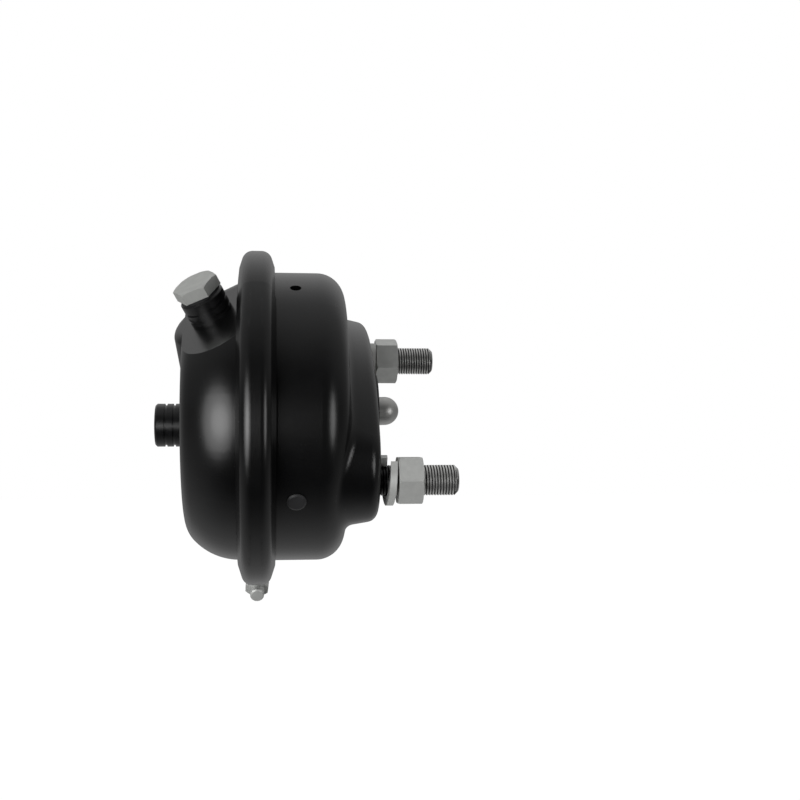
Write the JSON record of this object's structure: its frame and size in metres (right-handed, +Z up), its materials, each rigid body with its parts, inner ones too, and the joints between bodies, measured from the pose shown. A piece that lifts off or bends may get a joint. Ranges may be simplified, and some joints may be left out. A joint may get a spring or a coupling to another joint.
{
  "type": "air brake chamber",
  "caption": "Diaphragm air brake chamber with clamped pressed housings, mounting studs, port bosses and a sprung push rod that slides and tilts.",
  "frame": {"origin": "centre of the mounting face on the chamber's axis", "axes": "+X along the chamber's axis, the way the push rod comes out; +Z up as in the picture"},
  "size_m": [0.162, 0.188, 0.1992],
  "materials": {
    "black_paint": "satin black dip coat",
    "turned_black": "black coated turned steel",
    "zinc_steel": "zinc plated, satin",
    "rod_steel": "ground steel, satin",
    "spring_steel": "coated spring steel",
    "rubber": "matte black rubber",
    "plate_steel": "grey phosphated steel",
    "plug_plastic": "black plastic"
  },
  "bodies": {
    "housing": {"rear_housing": "black_paint", "axial_port_boss": "turned_black", "angled_port_boss": "turned_black", "port_plug_seal": "rubber", "port_plug": "zinc_steel", "front_housing": "black_paint", "clamp_ring": "black_paint", "clamp_bolt": "zinc_steel", "clamp_nut": "zinc_steel", "stud_plate": "plate_steel", "upper_mounting_stud": "zinc_steel", "lower_mounting_stud": "zinc_steel", "upper_spring_washer": "zinc_steel", "lower_spring_washer": "zinc_steel", "upper_stud_nut": "zinc_steel", "lower_stud_nut": "zinc_steel", "diaphragm": "rubber", "return_spring": "spring_steel", "spring_seat": "plate_steel", "rod_boot": "rubber", "face_seal": "rubber", "upper_vent_plug": "plug_plastic", "lower_vent_plug": "plug_plastic"},
    "plate": {"push_plate": "plate_steel", "ball_socket": "plate_steel", "rod_retainer": "plate_steel", "boot_clip": "zinc_steel"},
    "rod": {"push_rod": "rod_steel"}
  },
  "joints": [
    {"name": "push_rod_stroke", "type": "slide", "parent": "housing", "child": "plate", "axis": [1, 0, 0], "range_m": [0, 0.057], "stiffness_N_per_m": 2000, "springref_m": -0.05, "deforming": ["return_spring", "rod_boot", "diaphragm"]},
    {"name": "push_rod_tilt", "type": "hinge", "parent": "plate", "child": "rod", "pos_m": [-0.082, 0, 0], "axis": [0, 1, 0], "range_deg": [-1.4, 5.2]}
  ]
}
